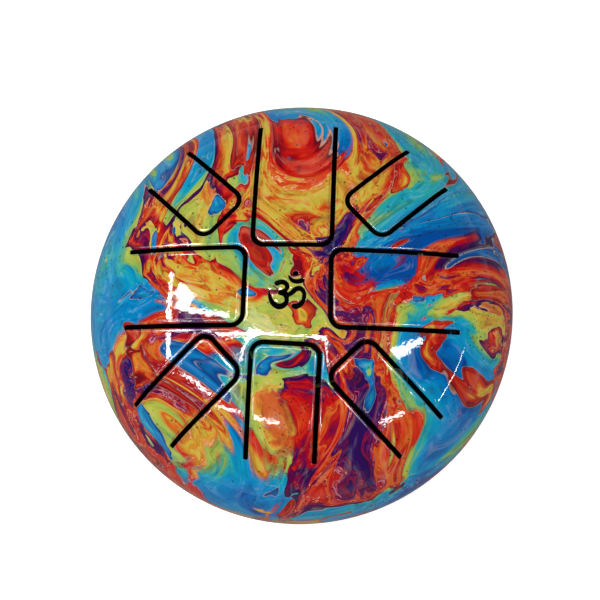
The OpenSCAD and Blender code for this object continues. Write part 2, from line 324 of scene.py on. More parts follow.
def pouredPaint(s, p, e, at):
    # four warps, each of a finer noise, fold the pattern as floating paint folds
    folds = [at]
    for noise, reach in p["folds"]:
        folds.append(folds[-1] + (s.noise(folds[-1], *noise, vector=True) - 0.5) * reach)
    fold2, fold3, curl = folds[2:]
    zone = at * p["stay"] + fold3 * (1 - p["stay"])
    some = s.noise(fold2, *p["some"])   # laces and streaks come and go with this
    cool = paintValue(s, p, p["cool"], fold2, curl, zone)
    warm = paintValue(s, p, p["warm"], curl, curl, zone)
    kind = drawn(s, p, s.noise(fold2, *p["deep"]["noise"]), p["deep"]["pours"], p["deep"]["pull"], zone)
    # each paint lies in layers, which change slowly along the drum
    across, along = (at.calc("DOT_PRODUCT", way) for way in p["layerWays"])
    layers = layered(s, p, warm, cool, some, (across, along), p["layerStretch"])
    veins = layered(s, p, cool, warm, some, (along, across), p["veinStretch"])
    least, more = p["veinGain"]
    coolTone = cool + veins * (least + s.step(cool, *e["coolVeins"]) * more)
    under = s.ramp(coolTone, p["cool"]["stops"])
    under = laced(s, p, under, coolTone, p["cool"], s.step(some, *e["coolLaces"]))
    # where the two paints ran together wet, no edge shows
    wet = s.step(s.noise(fold2, *p["wet"]), *e["wet"])
    darkRim = s.step(warm, *e["warmRim"]) * p["rimTone"]
    tone = (warm + layers * s.step(warm, *e["warmLayers"]) * p["layerGain"]).calc("MAXIMUM", darkRim)
    # in places, no pale rim
    tone = tone + s.step(some, *e["rimless"]) * (1 - s.step(warm, *e["pastRim"])) * p["rimLift"]
    ofWarm, ofLayers, base = p["wetTone"]
    tone = tone * (1 - wet) + (warm * ofWarm + layers * ofLayers + base) * wet
    warmRamp, deepRamp = (s.ramp(tone, p[name]["stops"]) for name in ("warm", "deep"))
    over = s.blend(warmRamp, deepRamp, s.step(kind, *e["deep"]))
    over = laced(s, p, over, tone, p["warm"], 1 - s.step(some, *e["laceless"]))
    (low, high), (wetLow, wetHigh) = p["shore"], p["wetShore"]
    colour = s.blend(under, over, s.step(warm, low - wet * wetLow, high + wet * wetHigh))
    return fingered(s, p, e, colour, at, fold3, curl, warm, cool), fold3, some


def fingered(s, p, e, colour, at, fold3, curl, warm, cool):
    # fingers of blue and of red over both paints, each shaded from its edge in
    f = p["finger"]
    finger = s.noise(fold3, *f["noise"]) + (s.noise(curl, *f["fine"]) - 0.5) * f["fineGain"]
    finger = drawn(s, p, finger, f["pours"], 1, at)
    a, b, c = f["driftStretch"]
    drift = (s.noise(s.join(finger * a, warm * b, cool * c), *f["drift"]) - 0.5) * f["driftGain"]
    blueTone = (finger - f["blueEdge"][0]) * f["blueGain"] + drift * s.step(finger, *e["blueDrift"])
    colour = s.blend(colour, s.ramp(blueTone, f["blue"]), s.step(finger, *f["blueEdge"]))
    redTone = (f["redEdge"][1] - finger) * f["redGain"] + drift * (1 - s.step(finger, *e["redDrift"]))
    return s.blend(colour, s.ramp(redTone, f["red"]), 1 - s.step(finger, *f["redEdge"]))


# the lacquer over the paint, and the black inside, a dark primer that also paints shade into the drum and its
# cuts;
# lengths in metres, depth and edge in shares of the sheet and of the bead, facing from -1 (the wall's inner
# side) to 1
lacquer = {
    "primerAndShadeBlack": "050506", "unlit": "040405", "cutDepth": (0.16, 0.30), "facing": (-0.74, -0.60),
    "collarLow": (0.0085, 0.0105), "collarHigh": (0.030, 0.040), "collarReach": (0.026, 0.027),
    "bare": 0.34, "bareFrom": (0.002, 0.006), "bareTo": (0.03, 0.05), "bareNoise": (140, 2),
    "bareShare": (0.30, 0.55), "steel": "D8D6D2", "steelRough": 0.22,
    "grain": (170, 3, 0.65), "mottles": [("1C1018", (0.47, 0.72), 0.42), ("F0E2B8", (0.47, 0.28), 0.10)],
    "cells": 470, "cellEdge": (0.08, 0.25), "luck": (0.4, 0.3, 0.3), "someLuck": 0.5,
    "luckShare": (0.78, 0.84), "fineCells": 820, "fineEdge": (0.10, 0.32),
    "dust": (38, 1.5, 0.5, (3.0, 8.0, 1.0)), "dustShare": (0.58, 0.64),
    "speck": "1A1416", "speckShare": 0.8, "speckHeight": 0.05,
    "bead": 0.5, "beadTop": 0.55, "beadBack": 0.8, "fall": 2.5, "figureReach": (0.009, 0.012),
    "waves": [((90, 1), 0.36), ((700, 1.5), 0.11)], "ripple": 0.12, "rippleHeight": 0.001,
    "ground": (0.0011, 0.0017), "grinding": (260, 2), "groundBase": 0.2, "groundHeight": 0.25,
    "rough": 0.02, "smear": (60, 3, 0.6), "smearRough": 0.02}


def primerAndShadeShare(s, q, at, depth, height, reach):
    # 1 on the cut edges, on the walls' inner sides and within the port's turned-in edge: primer and painted
    # shade
    spoke = (at - (0, 0, shell["seam"] * mm)).calc("NORMALIZE")
    facing = s.add("ShaderNodeNewGeometry", out="Normal", vector=True).calc("DOT_PRODUCT", spoke)
    primerAndShade = s.step(depth, *q["cutDepth"]).calc("MAXIMUM", 1 - s.step(facing, *q["facing"]))
    collar = s.step(height, *q["collarLow"]) * (1 - s.step(reach, *q["collarReach"]))
    return primerAndShade.calc("MAXIMUM", collar * (1 - s.step(height, *q["collarHigh"])))


def dustSpecks(s, q, at, some):
    # dark dots at some of the middles of two sets of cells
    cell = s.add("ShaderNodeTexVoronoi", {"Vector": at, "Scale": q["cells"]}, out="Distance")
    luck = cell.other("Color", vector=True).calc("DOT_PRODUCT", q["luck"])
    speck = (1 - s.step(cell, *q["cellEdge"])) * s.step(luck + some * q["someLuck"], *q["luckShare"])
    fineCell = s.add("ShaderNodeTexVoronoi", {"Vector": at, "Scale": q["fineCells"]}, out="Distance")
    dusty = s.step(s.noise(at, *q["dust"]), *q["dustShare"])
    return speck.calc("MAXIMUM", (1 - s.step(fineCell, *q["fineEdge"])) * dusty)


def lacquerRelief(s, q, at, speck, height, reach):
    # slight waves and a fine peel, a bead beside each cut, dust, and the weld ground flush at the seam
    ground = 1 - s.step(abs(height - shell["seam"] * mm), *q["ground"])
    edge = s.attribute("edge")
    away = s.step(reach, *q["figureReach"])   # 0 on the figure, where the lacquer only falls to the cut
    bead = s.step(edge, 0, q["beadTop"]) * (1 - s.step(edge, q["beadTop"], 1) * q["beadBack"])
    relief = bead * q["bead"] * away - edge * (1 - away) * q["fall"]
    for noise, share in q["waves"]:
        relief = relief + s.noise(at, *noise) * share
    grinding = ground * (s.noise(at, *q["grinding"]) - q["groundBase"]) * q["groundHeight"]
    return relief + speck * q["speckHeight"] + grinding


def makePaint(p, e, q):
    s = Shader("shellPaint")
    at = s.place
    height = s.add("ShaderNodeSeparateXYZ", {0: at}, out="Z")
    reach = (at * (1, 1, 0)).calc("LENGTH")
    depth = s.attribute("depth")
    colour, fold3, some = pouredPaint(s, p, e, at)
    primerAndShade = primerAndShadeShare(s, q, at, depth, height, reach)
    # black primer, and painted shade, inside the drum and down its cuts
    colour = s.blend(colour, q["primerAndShadeBlack"], primerAndShade)
    # mottling, as the paint's grain gathers
    grain = s.noise(fold3, *q["grain"])
    for code, (low, high), share in q["mottles"]:
        colour = s.blend(colour, code, s.step(grain, low, high) * (1 - primerAndShade) * share)
    speck = dustSpecks(s, q, at, some)
    colour = s.blend(colour, q["speck"], speck * (1 - primerAndShade) * q["speckShare"])
    # where the lacquer pulls back from a cut edge, bright steel shows
    bare = s.step(depth, *q["bareFrom"]) * (1 - s.step(depth, *q["bareTo"]))
    bare = bare * s.step(s.noise(at, *q["bareNoise"]), *q["bareShare"]) * q["bare"]
    normal = s.bump(lacquerRelief(s, q, at, speck, height, reach), q["ripple"], q["rippleHeight"])
    rough = q["rough"] + s.noise(at, *q["smear"]) * q["smearRough"]
    painted = s.add("ShaderNodeBsdfPrincipled", {"Base Color": colour, "Roughness": rough, "Normal": normal})
    metal = {"Base Color": q["steel"], "Metallic": 1.0, "Roughness": q["steelRough"], "Normal": normal}
    steel = s.add("ShaderNodeBsdfPrincipled", metal)
    # the inside's dark matte: primer and painted shade
    primerAndShadeBlack = s.add("ShaderNodeBsdfDiffuse", {"Color": q["unlit"]})
    return s.finish(s.mix(s.mix(painted, steel, bare), primerAndShadeBlack, primerAndShade))


paintMaterial = makePaint(paint, edges, lacquer)
print("paint mixed")


def makeMesh(name, points, faces, cornerNormals=None, values=None):
    mesh = bpy.data.meshes.new(name)
    mesh.from_pydata((points * mm).tolist(), [], faces)
    mesh.update()
    mesh.shade_smooth()
    if cornerNormals is not None:
        mesh.normals_split_custom_set(cornerNormals.tolist())
    for key, value in (values or {}).items():
        mesh.attributes.new(key, "FLOAT", "POINT").data.foreach_set("value", value.astype(np.float32))
    obj = bpy.data.objects.new(name, mesh)
    bpy.context.scene.collection.objects.link(obj)
    return obj


def ringFaces(steps, rows, n):
    # quads between each of the first steps rings and the next; after the last of the rows comes the first
    i, j = np.meshgrid(np.arange(steps), np.arange(n), indexing="ij")
    nextI, nextJ = (i + 1) % rows, (j + 1) % n
    return np.stack([i * n + j, nextI * n + j, nextI * n + nextJ, i * n + nextJ], -1).reshape(-1, 4).tolist()


def insideLoop(points, loop):
    # a point is inside where a line from it crosses the loop an odd number of times
    a, b = loop[None, :, :], np.roll(loop, -1, 0)[None, :, :]
    x, y = points[:, 0:1], points[:, 1:2]
    crosses = (a[..., 1] > y) != (b[..., 1] > y)
    rise = np.where(b[..., 1] == a[..., 1], tiny, b[..., 1] - a[..., 1])
    return (crosses & (x < (b[..., 0] - a[..., 0]) * (y - a[..., 1]) / rise + a[..., 0])).sum(1) % 2 == 1


def insideSheet(points, loops):
    # inside the first loop, the outline, and outside all the others, its holes
    keep = insideLoop(points, loops[0])
    for hole in loops[1:]:
        keep &= ~insideLoop(points, hole)
    return keep


def twiceArea(loop):
    # positive where the loop runs anticlockwise
    return np.sum(loop[:, 0] * np.roll(loop[:, 1], -1) - np.roll(loop[:, 0], -1) * loop[:, 1])


def nearest(points, others):
    # distance from each point to the nearest of the others
    tree = kdtree.KDTree(len(others))
    for k, (x, y) in enumerate(others.tolist()):
        tree.insert((x, y, 0), k)
    tree.balance()
    return np.array([tree.find((x, y, 0))[2] for x, y in points.tolist()])


# spacing of a sheet's inner points, and how near they come to its edges and to each other, in mm;
# edgeClear is a share of the spacing, beadClear of the bead's width
sheetNet = {"spacing": 1.5, "edgeClear": 0.62, "beadClear": 0.8, "twinGap": 0.25, "beadGap": 0.7,
            "merge": 1e-7, "same": 1e-6, "rollRows": 4, "rimPoints": 400}
# the cut round a tongue and the edges beside it, in mm; easing is the roll's growth per mm from the root
tongueCut = {"cut": 1.6, "corner": 4.0, "endFillet": 0.45, "roll": 0.9, "rollDepth": 0.42, "stub": 0.6,
             "bead": 0.6, "figureBead": 0.5, "endRoll": 0.07, "easing": 0.36, "pitch": 0.9, "endPitch": 0.3,
             "cornerPoints": 9, "endPoints": 5}


def joinLoops(loops):
    # the tops of the loops end to end, the outline anticlockwise and the holes clockwise
    plans, norms, rolls, starts = [], [], [], [0]
    for k, (wall, norm, roll) in enumerate(loops):
        top = wall - norm * roll[:, None]
        turned = (twiceArea(top) < 0) == (k == 0)
        order = slice(None, None, -1) if turned else slice(None)
        plans.append(top[order])
        norms.append(norm[order])
        rolls.append(roll[order])
        starts.append(starts[-1] + len(wall))
    return np.vstack(plans), np.vstack(norms), np.concatenate(rolls), starts


def latticePoints(reach, spacing):
    # rows of points, each second row moved by half the spacing, so that their triangles are equal
    steps = np.arange(-reach, reach, spacing)
    x, y = np.meshgrid(steps, steps * math.sqrt(3) / 2)
    x = x + (np.arange(len(steps)) % 2)[:, None] * spacing / 2
    return np.column_stack([x.ravel(), y.ravel()])


def beadPoints(plan, norm, roll, chart, chartLoops):
    # a row of points beside each cut edge bounds the lacquer's bead
    bead = np.where(roll == figure["roll"], tongueCut["figureBead"], tongueCut["bead"])
    beside = planToChart(plan - norm * bead[:, None])[roll > 0]
    keep = insideSheet(beside, chartLoops)
    bead, beside = bead[roll > 0][keep], beside[keep]
    beside = beside[nearest(beside, chart) > bead * sheetNet["beadClear"]]
    gap = np.linalg.norm(beside[:, None, :] - beside[None, :, :], axis=2)
    later = np.arange(len(beside))[:, None] > np.arange(len(beside))[None, :]
    return beside[~((gap < sheetNet["twinGap"]) & later).any(1)]


def netTriangles(name, points, borders, chartLoops):
    # a Delaunay net that keeps the borders, in the order of the points, without what lies outside
    net = geometry.delaunay_2d_cdt([Vector(c) for c in points.tolist()], borders, [], 0, sheetNet["merge"])
    assert len(net[0]) == len(points), (name, len(net[0]), len(points))
    back = np.array([ids[0] for ids in net[3]])
    triangles = back[np.array(net[2])]
    triangles = triangles[insideSheet(points[triangles].mean(1), chartLoops)]
    a, b, c = (points[triangles[:, k]] for k in range(3))
    twice = (b[:, 0] - a[:, 0]) * (c[:, 1] - a[:, 1]) - (b[:, 1] - a[:, 1]) * (c[:, 0] - a[:, 0])
    triangles[twice < 0] = triangles[twice < 0][:, ::-1]
    return triangles


def edgeRows(plan, norm, roll, n):
    # rows down each edge: a quarter ellipse, the roll wide and its depth deep, and then the straight wall
    flat = np.column_stack([norm, np.zeros(len(plan))])
    outward = unit(flat - (flat * n).sum(1)[:, None] * n)
    rollDepth = np.minimum(np.where(roll > 0, roll, tongueCut["rollDepth"]), tongueCut["rollDepth"])
    squash = (rollDepth / np.maximum(roll, rollDepth))[:, None]
    points, depths, normals = [], [], []
    for k in range(sheetNet["rollRows"] + 1):
        turn = math.pi / 2 * k / sheetNet["rollRows"]
        moved = planToChart(plan + norm * (roll * math.sin(turn))[:, None])
        depths.append(rollDepth * (1 - math.cos(turn)))
        points.append(skin(moved, depths[-1])[0])
        normals.append(unit(n * math.cos(turn) + outward * squash * math.sin(turn)))
    depths.append(np.full(len(plan), shell["sheet"]))
    points.append(skin(moved, depths[-1])[0])
    normals.append(outward)
    return points, depths, normals, skin(moved, 0.0)[1]


def makeSheetPiece(name, outerLoop, holes):
    # a sheet's top is a Delaunay net of its outline and a triangular lattice; rows of the
    # outline turn down round the edge, and the same net at the sheet's depth closes it
    plan, norm, roll, starts = joinLoops([outerLoop] + holes)
    count = len(plan)
    chart = planToChart(plan)
    chartLoops = [chart[start:end] for start, end in zip(starts, starts[1:])]
    lattice = latticePoints(np.abs(chartLoops[0]).max(), sheetNet["spacing"])
    lattice = lattice[insideSheet(lattice, chartLoops)]
    lattice = lattice[nearest(lattice, chart) > sheetNet["spacing"] * sheetNet["edgeClear"]]
    beside = beadPoints(plan, norm, roll, chart, chartLoops)
    if len(beside):
        lattice = np.vstack([beside, lattice[nearest(lattice, beside) > sheetNet["beadGap"]]])
    borders = [(a, a + 1 if a + 1 < end else start)
               for start, end in zip(starts, starts[1:]) for a in range(start, end)]
    triangles = netTriangles(name, np.vstack([chart, lattice]), borders, chartLoops)

    top = skin(chart, 0.0)[1]
    points, depths, rowNormals, under = edgeRows(plan, norm, roll, top)
    rowCount = len(points)
    inner = skin(lattice, shell["sheet"])[0]
    outer, outerNormals = skin(lattice, 0.0)
    points = np.vstack(points + [outer, inner])
    depths = np.concatenate(depths + [np.zeros(len(lattice)), np.full(len(lattice), shell["sheet"])])
    onEdge = triangles < count
    afterRows = triangles - count + rowCount * count
    lastRow = triangles + (rowCount - 1) * count
    faces = [np.where(onEdge, triangles, afterRows),
             np.where(onEdge, lastRow, afterRows + len(lattice))[:, ::-1]]
    corners = [np.vstack([top, outerNormals])[triangles],
               -np.vstack([under, outerNormals])[triangles[:, ::-1]]]
    first, second = np.array(borders).T
    for k in range(rowCount - 1):
        u, v = k * count, (k + 1) * count
        faces.append(np.column_stack([second + u, first + u, first + v, second + v]))
        upper, lower = rowNormals[k], rowNormals[k + 1]
        corners.append(np.stack([upper[second], upper[first], lower[first], lower[second]], 1))
    edge = np.concatenate([np.tile(roll > 0, rowCount), np.zeros(2 * len(lattice))])
    obj = makeMesh(name, points, [f for block in faces for f in block.tolist()],
                   np.vstack([block.reshape(-1, 3) for block in corners]),
                   {"depth": depths / shell["sheet"], "edge": edge})
    obj.data.materials.append(paintMaterial)
    print(name, len(points), "points")
    return obj


# an outline is wall points, their normals towards the void, and the roll at each

def outline(parts):
    # the parts end to end, without points that fall on each other
    points, normals, rolls = (np.concatenate([p[k] for p in parts]) for k in range(3))
    keep = np.linalg.norm(points - np.roll(points, 1, 0), axis=1) > sheetNet["same"]
    return points[keep], normals[keep], rolls[keep]


def line(a, b, normal, roll, pitch=tongueCut["pitch"]):
    # points from a to just short of b
    count = max(1, round(math.dist(a, b) / pitch))
    t = (np.arange(count) / count)[:, None]
    normals = np.tile(np.array(normal, float), (count, 1))
    return np.array(a) * (1 - t) + np.array(b) * t, normals, np.full(count, roll)


def bend(centre, radius, start, end, towards, roll, count=tongueCut["cornerPoints"]):
    # an arc, its normals out from the centre (1) or in to it (-1)
    t = np.radians(start + (end - start) * np.arange(count) / count)
    spoke = np.column_stack([np.cos(t), np.sin(t)])
    return np.array(centre) + radius * spoke, spoke * towards, np.full(count, roll)


tongueLength, tongueWidth, tongueRoot = 46.0, 26.5, 65.0
# heading, then shares of the length, width, root distance, and of the width sideways
tongues = [(90.5, 1.00, 1.00, 0.930, 0.000), (44, 0.67, 0.72, 0.985, 0.062),
           (1, 0.92, 0.985, 0.855, -0.010), (315, 0.76, 0.705, 0.988, -0.086),
           (268, 0.82, 0.85, 0.868, -0.008), (224.5, 0.75, 0.71, 1.000, 0.016),
           (180, 0.905, 1.00, 0.878, -0.010), (137.5, 0.67, 0.72, 0.992, -0.060)]


def tonguePlace(row):
    # half the width, then the distances from the drum's axis of the root, the tip and the joint
    half, root = row[2] * tongueWidth / 2, row[3] * tongueRoot
    return half, root, root - row[1] * tongueLength, root - tongueCut["stub"]


def toDrum(row, loop):
    # from the tongue's own plan, x along it to the root, to the drum's plan
    turn = math.radians(row[0])
    spin = np.array([[math.cos(turn), math.sin(turn)], [-math.sin(turn), math.cos(turn)]])
    return (loop[0] + (0, row[4] * tongueWidth)) @ spin, loop[1] @ spin, loop[2]


def jointLine(x, half, c):
    # the last point of the slot's side, and then points across the tongue at its joint, with no roll
    inner = half - c["endRoll"] - c["easing"] * c["stub"]
    count = round(2 * inner / c["pitch"])
    y = -inner + 2 * inner * np.arange(1, count) / count
    across = np.column_stack([np.full(count - 1, x), y])
    return [(np.array([[x, -half]]), np.array([[0.0, -1.0]]), np.array([c["roll"]])),
            (across, np.tile([1.0, 0.0], (count - 1, 1)), np.zeros(count - 1))]


def eased(loop, root, c):
    # the roll of the edge fades out towards a slot's end
    points, normals, rolls = loop
    fading = c["endRoll"] + c["easing"] * np.maximum(root - points[:, 0], 0)
    return points, normals, np.where(rolls > 0, np.minimum(rolls, fading), 0)


def windowLoop(row, c):
    # the window round a tongue: a slot on each side, joined round the tip by straight runs and quarter
    # turns. slim is the tongue's half width, wide the window's; f and k are the radii of the slots' ends
    # and of the corners at the tip
    half, root, tip, joint = tonguePlace(row)
    slim, wide, end = half - c["cut"] / 2, half + c["cut"] / 2, tip - c["cut"] / 2
    f, k, roll = c["endFillet"], c["corner"] + c["cut"] / 2, c["roll"]
    few, pitch, x, turnX = c["endPoints"], c["endPitch"], root - f, end + k
    upper = [line((joint, slim), (x, slim), (0, 1), roll, pitch),
             bend((x, slim + f), f, -90, 0, -1, roll, few),
             line((root, slim + f), (root, wide - f), (-1, 0), roll, pitch),
             bend((x, wide - f), f, 0, 90, -1, roll, few),
             line((x, wide), (turnX, wide), (0, -1), roll),
             bend((turnX, wide - k), k, 90, 180, -1, roll)]
    lower = [line((end, wide - k), (end, k - wide), (1, 0), roll),
             bend((turnX, k - wide), k, 180, 270, -1, roll),
             line((turnX, -wide), (x, -wide), (0, 1), roll),
             bend((x, f - wide), f, 270, 360, -1, roll, few),
             line((root, f - wide), (root, -slim - f), (-1, 0), roll, pitch),
             bend((x, -slim - f), f, 0, 90, -1, roll, few),
             line((x, -slim), (joint, -slim), (0, -1), roll, pitch)]
    return toDrum(row, eased(outline(upper + lower + jointLine(joint, slim, c)), root, c))


def tongueLoop(row, c):
    # the tongue from its joint: its two sides and its tip, with quarter turns of radius k at the corners
    half, root, tip, joint = tonguePlace(row)
    slim, end, k, roll = half - c["cut"] / 2, tip + c["cut"] / 2, c["corner"] - c["cut"] / 2, c["roll"]
    parts = [line((joint, slim), (end + k, slim), (0, 1), roll),
             bend((end + k, slim - k), k, 90, 180, 1, roll),
             line((end, slim - k), (end, k - slim), (-1, 0), roll),
             bend((end + k, k - slim), k, 180, 270, 1, roll),
             line((end + k, -slim), (joint, -slim), (0, -1), roll)]
    return toDrum(row, eased(outline(parts + jointLine(joint, slim, c)), root, c))


# strokes of the cut-out figure: points x, y and half width, in millimetres from the crown's top
figure = {
    "roll": 0.16, "pitch": 0.36, "cell": 0.06, "span": (-9, 8), "softenings": 6, "samples": 60,
    "shortest": 2, "fewest": 12,
    "strokes": [
        [(-4.41, 0.98, 0.87), (-3.82, 1.27, 0.84), (-2.87, 1.46, 0.85), (-1.70, 1.14, 0.80),
         (-0.97, 0.14, 0.71), (-1.22, -0.87, 0.68), (-2.17, -1.72, 0.73), (-3.19, -2.15, 0.84)],
        [(-3.19, -2.15, 0.82), (-2.01, -2.55, 0.78), (-1.15, -3.52, 0.74), (-0.99, -4.64, 0.74),
         (-1.38, -5.77, 0.84), (-2.40, -6.54, 0.94), (-3.58, -6.77, 0.97), (-4.76, -6.25, 0.90),
         (-5.86, -5.21, 0.78), (-6.48, -3.84, 0.62), (-6.84, -2.56, 0.42), (-7.00, -1.43, 0.20)],
        [(-1.30, -2.80, 0.62), (-0.20, -2.64, 0.72), (0.74, -1.99, 0.84), (1.68, -1.03, 0.86),
         (2.94, -0.55, 0.83), (4.03, -1.11, 0.75), (4.63, -2.23, 0.67), (4.66, -3.52, 0.67),
         (4.27, -4.97, 0.74), (3.41, -6.01, 0.85), (2.23, -6.57, 0.93), (1.44, -6.49, 0.82)],
        [(-0.52, 3.55, 0.24), (-0.10, 2.72, 0.50), (0.76, 2.02, 0.69), (1.99, 1.70, 0.79), (3.17, 1.86, 0.84),
         (3.88, 2.10, 0.82)],
        [(1.60, 4.37, 0.94), (1.62, 4.35, 0.94)]]}


def strokeRun(points, count):
    # a Catmull-Rom curve through the points, for all of its samples at once
    p = np.array(points)
    p = np.vstack([2 * p[0] - p[1], p, 2 * p[-1] - p[-2]])
    t = np.linspace(0, len(points) - 1 - tiny, count)
    k = t.astype(int)
    t = (t - k)[:, None]
    a, b, c, d = p[k], p[k + 1], p[k + 2], p[k + 3]
    return 0.5 * (2 * b + (c - a) * t + (2 * a - 5 * b + 4 * c - d) * t**2 + (3 * b - 3 * c + d - a) * t**3)


def figureField(f):
    # on a fine grid, the distance to the strokes' edges less the roll, each value softened by its four
    # neighbours; it is zero where the sheet's top starts to turn down
    ticks = np.arange(*f["span"], f["cell"])
    gx, gy = np.meshgrid(ticks, ticks, indexing="ij")
    field = np.full(gx.shape, np.inf)
    for stroke in f["strokes"]:
        for x, y, half in strokeRun(stroke, f["samples"]).tolist():
            field = np.minimum(field, np.hypot(gx - x, gy - y) - half)
    soft = field - f["roll"]
    for _ in range(f["softenings"]):
        soft[1:-1, 1:-1] = (soft[1:-1, 1:-1] * 4 + soft[:-2, 1:-1] + soft[2:, 1:-1]
                            + soft[1:-1, :-2] + soft[1:-1, 2:]) / 8
    return ticks, soft


def zeroLines(ticks, field, cell):
    # the lines where the field is zero, followed from cell to cell: on a cell's side it is crossed where
    # the straight line between the values at the side's ends is zero
    sign = field < 0
    nextOf, places = {}, {}

    def crossing(i, j, axis):
        a, b = field[i, j], (field[i + 1, j] if axis == 0 else field[i, j + 1])
        t = a / (a - b) * cell
        places[(i, j, axis)] = (ticks[i] + (t if axis == 0 else 0), ticks[j] + (t if axis == 1 else 0))
        return (i, j, axis)

    mixed = (sign[:-1, :-1] != sign[1:, :-1]) | (sign[:-1, :-1] != sign[:-1, 1:])
    mixed |= (sign[1:, 1:] != sign[1:, :-1]) | (sign[1:, 1:] != sign[:-1, 1:])
    for i, j in np.argwhere(mixed).tolist():
        ring = [(sign[i, j], sign[i + 1, j], (i, j, 0)), (sign[i + 1, j], sign[i + 1, j + 1], (i + 1, j, 1)),
                (sign[i + 1, j + 1], sign[i, j + 1], (i, j + 1, 0)), (sign[i, j + 1], sign[i, j], (i, j, 1))]
        enter = [key for a, b, key in ring if b and not a]
        leave = [key for a, b, key in ring if a and not b]
        for start, end in zip(leave, enter):
            nextOf[crossing(*start)] = crossing(*end)
    loops = []
    while nextOf:
        key = next(iter(nextOf))
        run = []
        while key in nextOf:
            run.append(places[key])
            key = nextOf.pop(key)
        loops.append(np.array(run))
    return loops


def figureLoops(f):
    # each zero line as an outline at an even pitch
    ticks, field = figureField(f)
    outlines = []
    for loop in zeroLines(ticks, field, f["cell"]):
        length = np.concatenate([[0], np.cumsum(np.linalg.norm(np.roll(loop, -1, 0) - loop, axis=1))])
        if length[-1] < f["shortest"]:
            continue
        count = max(f["fewest"], round(length[-1] / f["pitch"]))
        at = np.arange(count) / count * length[-1]
        closed = np.vstack([loop, loop[:1]])
        even = np.column_stack([np.interp(at, length, closed[:, k]) for k in range(2)])
        along = unit(np.roll(even, -1, 0) - np.roll(even, 1, 0))
        normal = np.column_stack([-along[:, 1], along[:, 0]])
        normal = normal if twiceArea(even) > 0 else -normal
        outlines.append((even + normal * f["roll"], normal, np.full(count, f["roll"])))
    return outlines


def rimLoop(count):
    # a circle where the shell meets the weld, with no roll
    turn = 2 * math.pi * np.arange(count) / count
    spoke = np.column_stack([np.cos(turn), np.sin(turn)])
    return spoke * (shoulderX + shell["shoulder"] * math.sin(weldTilt)), spoke, np.zeros(count)


def makeUpperShell():
    holes = [windowLoop(row, tongueCut) for row in tongues] + figureLoops(figure)
    print(len(holes), "openings in the upper shell")
    upperShell = makeSheetPiece("upperShell", rimLoop(sheetNet["rimPoints"]), holes)
    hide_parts("upper_shell")
    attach(upperShell, "drum")


def makeTongue(k, row):
    # the tongue's sheet in place of its CAD node; the ends of its axis are found, but nothing uses them
    body = "tongue_%d" % (k + 1)
    tongue = makeSheetPiece("tongue%d" % (k + 1), tongueLoop(row, tongueCut), [])
    _, _, tip, joint = tonguePlace(row)
    axis = toDrum(row, (np.array([[joint, 0.0], [tip, 0.0]]), np.zeros((2, 2)), np.zeros(2)))[0]
    ends = skin(planToChart(axis), shell["sheet"] / 2)[0]
    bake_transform(tongue)
    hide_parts(body)


def dressNode(name, material):
    # a CAD node keeps its shape and takes a material
    nodes[name].data.materials.clear()
    nodes[name].data.materials.append(material)


makeUpperShell()
for k, row in enumerate(tongues):
    makeTongue(k, row)
for name in ("seam_weld", "lower_shell"):
    dressNode(name, paintMaterial)

rubber = {"stops": [(0.3, "121214"), (0.6, "17171A"), (0.8, "202022")], "cloud": (180, 4, 0.6),
          "worn": "2B2A2A", "sole": 0.0016, "scuffShare": 0.5, "scuffRough": 0.15,
          "dust": (900, 3, 0.7), "dusty": (0.6, 0.75), "dustShare": 0.35, "dustRough": 0.3,
          "bumps": (1400, 2, 0.6), "bumpShare": 0.6, "grain": 0.35, "deep": 0.0004, "rough": 0.62}


def makeRubber(r):
    s = Shader("footRubber")
    cloud, dust = s.noise(s.place, *r["cloud"]), s.noise(s.place, *r["dust"])
    scuff = 1 - s.step(s.place.calc("DOT_PRODUCT", (0, 0, 1)), 0.0, r["sole"])   # the sole is rubbed paler
    worn = scuff * r["scuffShare"] + s.step(dust, *r["dusty"]) * r["dustShare"]
    bumps = s.noise(s.place, *r["bumps"]) * r["bumpShare"] + cloud * (1 - r["bumpShare"])
    values = {"Base Color": s.blend(s.ramp(cloud, r["stops"]), r["worn"], worn),
              "Roughness": r["rough"] + (dust - 0.5) * r["dustRough"] + scuff * r["scuffRough"],
              "Normal": s.bump(bumps, r["grain"], r["deep"])}
    return s.finish(s.add("ShaderNodeBsdfPrincipled", values))


# tints are the blue and yellow of the chromate
zinc = {"stops": [(0.25, "9FA2A6"), (0.55, "C9CCCF"), (0.8, "DADCDD")], "spangle": (700, 4, 0.6),
        "tints": [(0.35, "AEB8C6"), (0.5, "C9CCCF"), (0.65, "D2C6A4")], "cloud": (240, 2), "tintShare": 0.35,
        "lathe": (420, 3, 0.6), "drawnOut": (1, 1, 9), "grooves": 0.12, "deep": 0.0003, "rough": 0.22,
        "spangleRough": 0.25}


def makeZinc(z):
    s = Shader("zincSteel")
    spangle = s.noise(s.place, *z["spangle"])
    lathe = s.noise(s.place * z["drawnOut"], *z["lathe"])
    tint = s.ramp(s.noise(s.place, *z["cloud"]), z["tints"])
    values = {"Base Color": s.blend(s.ramp(spangle, z["stops"]), tint, z["tintShare"]), "Metallic": 1.0,
              "Roughness": z["rough"] + spangle * z["spangleRough"],
              "Normal": s.bump(lathe, z["grooves"], z["deep"])}
    return s.finish(s.add("ShaderNodeBsdfPrincipled", values))


rubberMaterial, zincMaterial = makeRubber(rubber), makeZinc(zinc)
for name in ("foot_inserts", "foot_screws", "foot_washers", "foot_nuts"):
    dressNode(name, zincMaterial)

